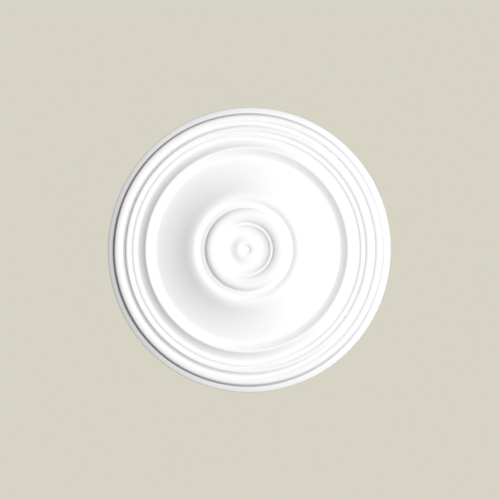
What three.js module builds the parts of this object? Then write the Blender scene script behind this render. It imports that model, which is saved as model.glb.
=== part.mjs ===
// A plain round ceiling rose, cast in one piece, in millimetres with +Z up.
// It hangs face down: the flat back is on z = 0 and the rings grow downwards from it.
import * as THREE from "three";

// Driving dimensions
const roseRadius = 200;
const rimEdge = 3; // thickness of the outer edge against the ceiling
const roundSegments = 92; // facets round the rose, a multiple of four so that both widths are full
const turnPerStep = 18; // degrees of bend that one facet of the profile takes
const longestStep = 11; // widest facet of the profile

// The mouldings from the rim inwards to the middle of the boss.
// width is measured towards the axis and rise away from the ceiling, so a falling one is negative.
// from and to are the slopes in degrees at its outer and inner ends, and a bend joins them.
const mouldings = [
  { name: "outer band", width: 8, rise: 3.7, from: 45, to: 20 },
  { name: "riser", width: 2.5, rise: 5.1, from: 64, to: 62 },
  { name: "nose, outer roll", width: 3.5, rise: 2.0, from: 55, to: 5 },
  { name: "nose, face", width: 3.5, rise: 0, from: 5, to: -6 },
  { name: "nose, inner roll", width: 4, rise: -2.7, from: -6, to: -57 },
  { name: "first cove", width: 6, rise: 4.5, from: 19, to: 66 },
  { name: "first fillet, outer roll", width: 2.5, rise: 0.6, from: 29, to: -3 },
  { name: "first fillet, inner roll", width: 5, rise: -2.4, from: -3, to: -44 },
  { name: "small bead, outer roll", width: 4.5, rise: 1.5, from: 38, to: -4 },
  { name: "small bead, inner roll", width: 3.5, rise: -2.3, from: -4, to: -38 },
  { name: "second cove", width: 13, rise: 7, from: 7, to: 41 },
  { name: "ridge", width: 3, rise: -0.1, from: 22, to: -7 },
  { name: "dish", width: 6, rise: -3.8, from: -37, to: -28 },
  { name: "dish, floor", width: 6, rise: -1.8, from: -28, to: 10 },
  { name: "bell, hollow foot", width: 42.5, rise: 13.1, from: 10, to: 26 },
  { name: "bell, round shoulder", width: 14, rise: 4.3, from: 26, to: -4 },
  { name: "crest, inner roll", width: 7, rise: -2.4, from: -4, to: -30 },
  { name: "step", width: 7, rise: 1.3, from: 13, to: 3 },
  { name: "collar, outer roll", width: 9, rise: 4.9, from: 55, to: 0 },
  { name: "collar, inner roll", width: 12, rise: -4.4, from: 0, to: -52 },
  { name: "thin bead", width: 4, rise: -0.5, from: 14, to: -25 },
  { name: "inner cove", width: 10.5, rise: -3.2, from: -47, to: -3 },
  { name: "boss, hollow foot", width: 9, rise: 2.9, from: 4, to: 22 },
  { name: "boss, round shoulder", width: 6, rise: 0.1, from: 22, to: -3 },
  { name: "dimple, lip", width: 2, rise: -0.7, from: -3, to: -36 },
  { name: "dimple, bowl", width: 2.5, rise: -1, from: -38, to: -6 },
];

// The bend of one moulding, a curve whose corner point is where its two end slopes meet.
// The radius falls and the depth grows from the start, given as a Vector2 (radius, depth).
function bend(start, { width, rise, from, to }) {
  const slopeFrom = Math.tan(THREE.MathUtils.degToRad(from));
  const slopeTo = Math.tan(THREE.MathUtils.degToRad(to));
  const reach = (rise - slopeTo * width) / (slopeFrom - slopeTo);
  const corner = new THREE.Vector2(start.x - reach, start.y + slopeFrom * reach);
  const end = new THREE.Vector2(start.x - width, start.y + rise);
  return new THREE.QuadraticBezierCurve(start, corner, end);
}

// The whole outline in (radius, depth), from the middle of the back round the rim to the middle of the face.
function outline() {
  const rim = new THREE.Vector2(roseRadius, rimEdge);
  const points = [new THREE.Vector2(0, 0), new THREE.Vector2(roseRadius, 0), rim];
  let start = rim;
  for (const moulding of mouldings) {
    const curve = bend(start, moulding);
    const stepsOfTurn = Math.abs(moulding.to - moulding.from) / turnPerStep;
    const steps = Math.max(1, Math.round(stepsOfTurn), Math.ceil(moulding.width / longestStep));
    points.push(...curve.getPoints(steps).slice(1));
    start = curve.v2;
  }
  points.push(new THREE.Vector2(0, start.y)); // the flat floor of the dimple
  return points;
}

// The lathe turns the outline about its own Y, so it is stood up on +Z, with depth pointing down.
function turnedSolid() {
  const profile = outline().map((point) => new THREE.Vector2(point.x, -point.y));
  profile.reverse(); // the face comes first, so that the faces point out
  return new THREE.LatheGeometry(profile, roundSegments).rotateX(Math.PI / 2);
}

const whiteCoat = new THREE.MeshStandardMaterial({ color: 0xf6f6f4, roughness: 0.6, metalness: 0 });
const rose = new THREE.Mesh(turnedSolid(), whiteCoat);
rose.name = "ceiling_rose";

const model = new THREE.Group();
model.add(rose);

export default model;
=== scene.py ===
import bpy
import math
import numpy as np
from mathutils import Matrix, Vector


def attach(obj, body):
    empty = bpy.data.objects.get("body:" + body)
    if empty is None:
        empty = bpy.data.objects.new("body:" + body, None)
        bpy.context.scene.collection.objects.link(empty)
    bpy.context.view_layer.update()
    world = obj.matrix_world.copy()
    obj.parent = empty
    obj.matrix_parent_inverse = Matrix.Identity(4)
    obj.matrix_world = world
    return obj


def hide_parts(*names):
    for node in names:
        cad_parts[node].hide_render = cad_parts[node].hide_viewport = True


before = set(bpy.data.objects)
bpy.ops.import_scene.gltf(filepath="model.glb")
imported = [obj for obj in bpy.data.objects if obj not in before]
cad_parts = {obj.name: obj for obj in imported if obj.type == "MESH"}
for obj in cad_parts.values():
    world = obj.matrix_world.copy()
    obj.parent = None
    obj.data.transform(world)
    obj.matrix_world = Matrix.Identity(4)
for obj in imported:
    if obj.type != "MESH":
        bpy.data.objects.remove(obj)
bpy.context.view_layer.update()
print("frame loaded, nodes:", sorted(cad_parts))


# Helpers

mm = 0.001


def toLinear(hexColour):
    # sRGB hex, such as "d6d3c4", to the linear colour that shaders take
    srgb = np.array([int(hexColour[i:i + 2], 16) for i in (0, 2, 4)]) / 255
    linear = np.where(srgb <= 0.04045, srgb / 12.92, ((srgb + 0.055) / 1.055) ** 2.4)
    return (*(float(c) for c in linear), 1.0)


def addNode(tree, kind, settings=None, inputs=None, links=None):
    # adds one node, sets its properties and sockets, and links its inputs from other nodes' outputs
    node = tree.nodes.new(kind)
    for name, value in (settings or {}).items():
        setattr(node, name, value)
    for name, value in (inputs or {}).items():
        node.inputs[name].default_value = value
    for name, source in (links or {}).items():
        tree.links.new(source, node.inputs[name])
    return node


# The rose

rose = {
    "radius": 200.0,  # mm
    "rimEdge": 3.0,  # mm, thickness of the outer edge against the ceiling
    "softness": 0.45,  # mm, how far arrises and creases are rounded by the mould and the primer
    "profileSteps": 300,  # points along the outline
    "roundSteps": 320,  # points round the axis
    "curveSamples": 400,  # along each moulding, before the outline is softened
    "sampleStep": 0.05,  # mm, between samples while it is softened
    "turnWindow": 9,  # samples over which the turn of the outline is averaged
    "spanPerPoint": 3.0,  # mm of outline that gets as many of the points as
    "turnPerPoint": 9.0,  # degrees of turn
}

# The mouldings from the rim inwards: width towards the axis, rise away from the ceiling, in mm,
# and the slopes in degrees at the outer and the inner end.
mouldings = [
    (8, 3.7, 45, 20),  # outer band
    (2.5, 5.1, 64, 62),  # riser
    (3.5, 2.0, 55, 5),  # nose, outer roll
    (3.5, 0, 5, -6),  # nose, face
    (4, -2.7, -6, -57),  # nose, inner roll
    (6, 4.5, 19, 66),  # first cove
    (2.5, 0.6, 29, -3),  # first fillet, outer roll
    (5, -2.4, -3, -44),  # first fillet, inner roll
    (4.5, 1.5, 38, -4),  # small bead, outer roll
    (3.5, -2.3, -4, -38),  # small bead, inner roll
    (13, 7, 7, 41),  # second cove
    (3, -0.1, 22, -7),  # ridge
    (6, -3.8, -37, -28),  # dish
    (6, -1.8, -28, 10),  # dish, floor
    (42.5, 13.1, 10, 26),  # bell, hollow foot
    (14, 4.3, 26, -4),  # bell, round shoulder
    (7, -2.4, -4, -30),  # crest, inner roll
    (7, 1.3, 13, 3),  # step
    (9, 4.9, 55, 0),  # collar, outer roll
    (12, -4.4, 0, -52),  # collar, inner roll
    (4, -0.5, 14, -25),  # thin bead
    (10.5, -3.2, -47, -3),  # inner cove
    (9, 2.9, 4, 22),  # boss, hollow foot
    (6, 0.1, 22, -3),  # boss, round shoulder
    (2, -0.7, -3, -36),  # dimple, lip
    (2.5, -1, -38, -6),  # dimple, bowl
]


def bend(start, width, rise, slopeFrom, slopeTo, t):
    # a parabola through start and its far end, whose corner point is where the two end slopes meet:
    # (1-t)^2 start + 2t(1-t) corner + t^2 end, in (radius, depth)
    a, b = math.tan(math.radians(slopeFrom)), math.tan(math.radians(slopeTo))
    reach = (rise - b * width) / (a - b)
    corner = start + np.array([-reach, a * reach])
    end = start + np.array([-width, rise])
    t = t[:, None]
    return (1 - t) ** 2 * start + 2 * t * (1 - t) * corner + t ** 2 * end


def roseOutline():
    # the whole outline in (radius, depth) mm, from the middle of the back round the rim to the dimple,
    # finely sampled, softened by a Gaussian average along its length, and thinned to profileSteps points
    # that lie closest where the outline turns most
    t = np.linspace(0, 1, rose["curveSamples"])
    rim = np.array([rose["radius"], rose["rimEdge"]])
    back = np.array([[0.0, 0.0], [rose["radius"], 0.0], rim])
    stretches = [back]
    start = rim
    for width, rise, slopeFrom, slopeTo in mouldings:
        stretches.append(bend(start, width, rise, slopeFrom, slopeTo, t)[1:])
        start = stretches[-1][-1]
    stretches.append(np.array([[0.0, start[1]]]))
    line = np.concatenate(stretches)
    length = np.concatenate([[0], np.cumsum(np.hypot(*np.diff(line, axis=0).T))])
    step = rose["sampleStep"]
    s = np.arange(0, length[-1], step)
    even = np.stack([np.interp(s, length, line[:, k]) for k in (0, 1)], 1)
    # the Gaussian average, out to four standard deviations
    sigma = rose["softness"] / step
    reach = int(4 * sigma)
    weights = np.exp(-0.5 * (np.arange(-reach, reach + 1) / sigma) ** 2)
    weights /= weights.sum()
    # mirrored across the axis at both ends, so that the middle stays on the axis and level
    ends = [even[1:reach + 1][::-1] * (-1, 1), even[-reach - 1:-1][::-1] * (-1, 1)]
    padded = np.concatenate([ends[0], even, ends[1]])
    soft = np.stack([np.convolve(padded[:, k], weights, "valid") for k in (0, 1)], 1)
    # points shared out by length and turn, so that flat stretches get few and tight rolls get many
    d = np.diff(soft, axis=0)
    turn = np.abs(np.diff(np.unwrap(np.arctan2(d[:, 1], d[:, 0]))))
    turn = np.concatenate([[0], turn, [0]])
    turn = np.convolve(turn, np.ones(rose["turnWindow"]) / rose["turnWindow"], "same")
    weight = step / rose["spanPerPoint"] + np.degrees(turn) / rose["turnPerPoint"]
    travel = np.concatenate([[0], np.cumsum(weight[:-1])])
    at = np.interp(np.linspace(0, travel[-1], rose["profileSteps"]), travel, np.arange(len(soft)))
    thin = np.stack([np.interp(at, np.arange(len(soft)), soft[:, k]) for k in (0, 1)], 1)
    thin[[0, -1], 0] = 0
    return thin


def turned(name, outline, roundSteps):
    # surface of revolution: (r cos a, r sin a, -depth), a from 0 to 2 pi, closed by one point at each end
    rings = outline[1:-1]
    angle = np.linspace(0, 2 * math.pi, roundSteps, endpoint=False)
    x = rings[:, :1] * np.cos(angle)
    y = rings[:, :1] * np.sin(angle)
    z = np.repeat(-rings[:, 1:], roundSteps, axis=1)
    grid = np.stack([x, y, z], 2).reshape(-1, 3)
    poles = np.array([[0, 0, -outline[0, 1]], [0, 0, -outline[-1, 1]]])
    verts = np.concatenate([poles, grid]) * mm
    ring = np.arange(len(rings) - 1)[:, None] * roundSteps
    here = np.arange(roundSteps)[None, :]
    after = (here + 1) % roundSteps
    quads = np.stack([ring + here, ring + roundSteps + here,
                      ring + roundSteps + after, ring + after], 2).reshape(-1, 4) + 2
    last = 2 + (len(rings) - 1) * roundSteps
    top = np.stack([np.zeros_like(here), 2 + here, 2 + after], 2).reshape(-1, 3)
    low = np.stack([np.ones_like(here), last + after, last + here], 2).reshape(-1, 3)
    mesh = bpy.data.meshes.new(name)
    mesh.from_pydata(verts.tolist(), [], top.tolist() + low.tolist() + quads.tolist())
    mesh.polygons.foreach_set("use_smooth", np.ones(len(mesh.polygons), bool))
    mesh.update()
    obj = bpy.data.objects.new(name, mesh)
    bpy.context.scene.collection.objects.link(obj)
    return obj


finish = {
    "primer": ("f4f4f4", "f6f6f6"),  # two tints, mixed by the mottle
    "bareFoam": ("e6dfcb", "efe9d9"),
    "mottle": 35.0,  # mm, size of the faint patches
    "grain": 1.2,  # mm, orange peel of the sprayed primer
    "pores": 0.8,  # mm, of the bare foam
    "relief": 0.02,  # mm, height of the grain and depth of the pores
    "reliefStrength": 0.15,
    "overspray": 7.0,  # mm, how far the primer reaches round onto the back
    "raggedSize": 9.0,  # mm, size of the tongues along the edge of the overspray
    "raggedReach": 10.0,  # mm, the most by which they can differ
    "raggedBlur": 2.5,  # mm, how softly that edge fades to either side
    "backSkin": (-0.6, -0.1),  # mm, heights between which the edge turns into the back
    "roughness": (0.62, 0.8),  # of the primer and of the bare foam
    "refraction": 1.46,
}


def addNoise(tree, place, size, detail):
    # smooth noise from 0 to 1 over the object, with patches of about size mm
    return addNode(tree, "ShaderNodeTexNoise", inputs={"Scale": 1 / (size * mm), "Detail": detail},
                   links={"Vector": place}).outputs["Fac"]


def primedFoam():
    # high-density polyurethane, moulded smooth and sprayed with matte white primer:
    # a clean, even white with no gloss and a faint dry mottle. The back was laid down when it was sprayed
    # and shows the bare foam, creamier and finely porous, with a ragged edge of overspray along the rim
    material = bpy.data.materials.new("primed_polyurethane")
    material.use_nodes = True
    tree = material.node_tree
    shader = tree.nodes["Principled BSDF"]
    place = addNode(tree, "ShaderNodeTexCoord").outputs["Object"]
    mottle = addNoise(tree, place, finish["mottle"], 3.0)
    tints = []
    for pair in ("primer", "bareFoam"):
        tint = addNode(tree, "ShaderNodeMix", {"data_type": "RGBA"}, links={"Factor": mottle})
        tint.inputs[6].default_value = toLinear(finish[pair][0])
        tint.inputs[7].default_value = toLinear(finish[pair][1])
        tints.append(tint.outputs[2])

    # bare is 1 on the back and 0 elsewhere: at the height of the back, and where the distance from the axis
    # plus raggedReach times the noise falls short of the overspray's edge
    height = addNode(tree, "ShaderNodeSeparateXYZ", links={"Vector": place}).outputs["Z"]
    low, high = finish["backSkin"]
    back = addNode(tree, "ShaderNodeMapRange", inputs={"From Min": low * mm, "From Max": high * mm},
                   links={"Value": height}).outputs["Result"]
    flat = addNode(tree, "ShaderNodeVectorMath", {"operation": "MULTIPLY"},
                   inputs={1: (1, 1, 0)}, links={0: place}).outputs["Vector"]
    radius = addNode(tree, "ShaderNodeVectorMath", {"operation": "LENGTH"}, links={0: flat}).outputs["Value"]
    ragged = addNoise(tree, place, finish["raggedSize"], 4.0)
    reach = addNode(tree, "ShaderNodeMath", {"operation": "MULTIPLY_ADD"},
                    inputs={1: finish["raggedReach"] * mm}, links={0: ragged, 2: radius}).outputs[0]
    # the noise is 0.5 on average, so half of raggedReach brings the edge back to where the overspray ends
    edge = (rose["radius"] - finish["overspray"] + finish["raggedReach"] / 2) * mm
    blur = finish["raggedBlur"] * mm
    inside = addNode(tree, "ShaderNodeMapRange", inputs={"From Min": edge + blur, "From Max": edge - blur},
                     links={"Value": reach}).outputs["Result"]
    bare = addNode(tree, "ShaderNodeMath", {"operation": "MULTIPLY"}, links={0: back, 1: inside}).outputs[0]
    colour = addNode(tree, "ShaderNodeMix", {"data_type": "RGBA"}, links={0: bare, 6: tints[0], 7: tints[1]})
    tree.links.new(colour.outputs[2], shader.inputs["Base Color"])

    # relief: orange peel under the primer, open pores on the bare foam
    grain = addNoise(tree, place, finish["grain"], 2.0)
    cells = addNode(tree, "ShaderNodeTexVoronoi", inputs={"Scale": 1 / (finish["pores"] * mm)},
                    links={"Vector": place}).outputs["Distance"]
    relief = addNode(tree, "ShaderNodeMix", {"data_type": "FLOAT"},
                     links={0: bare, 2: grain, 3: cells}).outputs[0]
    bump = addNode(tree, "ShaderNodeBump", links={"Height": relief},
                   inputs={"Strength": finish["reliefStrength"], "Distance": finish["relief"] * mm})
    tree.links.new(bump.outputs["Normal"], shader.inputs["Normal"])
    primed, foam = finish["roughness"]
    rough = addNode(tree, "ShaderNodeMapRange", inputs={"To Min": primed, "To Max": foam},
                    links={"Value": bare}).outputs["Result"]
    tree.links.new(rough, shader.inputs["Roughness"])
    shader.inputs["IOR"].default_value = finish["refraction"]
    return material


ceilingRose = turned("ceiling_rose_finish", roseOutline(), rose["roundSteps"])
ceilingRose.data.materials.append(primedFoam())
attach(ceilingRose, "root")
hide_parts("ceiling_rose")
print("rose made:", len(ceilingRose.data.polygons), "faces")


# Camera, below the rose and a little to the right of its axis

view = {
    "lens": 300.0,  # mm, long, because the rings of the photograph show hardly any perspective
    "tilt": 7.4,  # degrees off the rose's axis
    "turn": 12.0,  # degrees below the picture's horizontal
    "photoPixels": 500,
    "rosePixels": 285.0,  # the rose's width in the photograph
    "centreX": 248.95,  # where the middle of the back comes in the photograph, in pixels
    "centreY": 250.0,
}


def addCamera():
    # so far off that the rose is rosePixels wide, and moved sideways until its back is at the named centre
    data = bpy.data.cameras.new("camera")
    data.lens = view["lens"]
    half = data.sensor_width / 2 / data.lens
    frameWidth = 2 * rose["radius"] * mm * view["photoPixels"] / view["rosePixels"]
    distance = frameWidth / 2 / half
    tilt, turn = math.radians(view["tilt"]), math.radians(view["turn"])
    # the picture's right is +X and its top is -Y, as seen from below
    outward = Vector((math.sin(tilt) * math.cos(turn), math.sin(tilt) * math.sin(turn), -math.cos(tilt)))
    forward = -outward
    up = Vector((0, -1, 0))
    up = (up - forward * up.dot(forward)).normalized()
    right = forward.cross(up)
    pixel = frameWidth / view["photoPixels"]
    middle = view["photoPixels"] / 2
    aim = right * (middle - view["centreX"]) * pixel - up * (middle - view["centreY"]) * pixel
    turnMatrix = Matrix((right, up, -forward)).transposed().to_4x4()
    camera = bpy.data.objects.new("camera", data)
    camera.matrix_world = Matrix.Translation(outward * distance + aim) @ turnMatrix
    bpy.context.scene.collection.objects.link(camera)
    bpy.context.scene.camera = camera
    print("camera", round(distance, 3), "m from the rose")


addCamera()


# Stage: a pale floor far below, an even backdrop, and soft light

stage = {
    "floorDrop": 6.5,  # m, from the ceiling to the floor, which is just below the camera
    "floorSize": 6.0,  # m
    "floorColour": "d7d4c5",
    "floorRoughness": 0.9,
    "backdropColour": "d7d4c5",
    "fillStrength": 0.05,
    "fillColour": "f4f7fb",
    "keyAngle": 30.1,  # degrees off the rose's axis
    "keyTurn": 6.3,  # degrees above the picture's horizontal
    "keyDistance": 5.0,  # m
    "keySize": 2.0,  # m
    "keyColour": "fcfcff",
    "keyPower": 271.0,  # W
    "topStrength": 2.2,  # W/m2, on the back
    "topSpread": 20.0,  # degrees
}


def addFloor():
    # one square, centred under the rose
    half, z = stage["floorSize"] / 2, -stage["floorDrop"]
    corners = [(-half, -half, z), (half, -half, z), (half, half, z), (-half, half, z)]
    mesh = bpy.data.meshes.new("floor")
    mesh.from_pydata(corners, [], [(0, 1, 2, 3)])
    material = bpy.data.materials.new("pale_floor")
    material.use_nodes = True
    shader = material.node_tree.nodes["Principled BSDF"]
    shader.inputs["Base Color"].default_value = toLinear(stage["floorColour"])
    shader.inputs["Roughness"].default_value = stage["floorRoughness"]
    mesh.materials.append(material)
    floor = bpy.data.objects.new("floor", mesh)
    bpy.context.scene.collection.objects.link(floor)


def addWorld():
    # the camera sees the backdrop colour, and the rose is filled by a fainter, cooler sky
    world = bpy.data.worlds.new("studio")
    bpy.context.scene.world = world
    world.use_nodes = True
    tree = world.node_tree
    tree.nodes.clear()
    rays = addNode(tree, "ShaderNodeLightPath")
    fill = addNode(tree, "ShaderNodeBackground",
                   inputs={"Color": toLinear(stage["fillColour"]), "Strength": stage["fillStrength"]})
    backdrop = addNode(tree, "ShaderNodeBackground",
                       inputs={"Color": toLinear(stage["backdropColour"]), "Strength": 1.0})
    both = addNode(tree, "ShaderNodeMixShader", links={"Fac": rays.outputs["Is Camera Ray"]})
    tree.links.new(fill.outputs[0], both.inputs[1])
    tree.links.new(backdrop.outputs[0], both.inputs[2])
    addNode(tree, "ShaderNodeOutputWorld", links={"Surface": both.outputs[0]})


def addKey():
    # one round soft light on the right, from below, turned to face the rose
    data = bpy.data.lights.new("key", "AREA")
    data.shape = "DISK"
    data.size = stage["keySize"]
    data.energy = stage["keyPower"]
    data.color = toLinear(stage["keyColour"])[:3]
    angle, turn = math.radians(stage["keyAngle"]), math.radians(stage["keyTurn"])
    towards = Vector((math.sin(angle) * math.cos(turn), -math.sin(angle) * math.sin(turn), -math.cos(angle)))
    key = bpy.data.objects.new("key", data)
    key.location = towards * stage["keyDistance"]
    key.rotation_mode = "QUATERNION"
    key.rotation_quaternion = towards.to_track_quat("Z", "Y")
    bpy.context.scene.collection.objects.link(key)


def addTopLight():
    # from straight above, on the back and the floor alone
    data = bpy.data.lights.new("top", "SUN")
    data.energy = stage["topStrength"]
    data.angle = math.radians(stage["topSpread"])
    top = bpy.data.objects.new("top", data)
    bpy.context.scene.collection.objects.link(top)


addFloor()
addWorld()
addKey()
addTopLight()
settings = bpy.context.scene.view_settings
settings.view_transform = "Standard"
settings.look = "None"
print("stage, light and camera made")
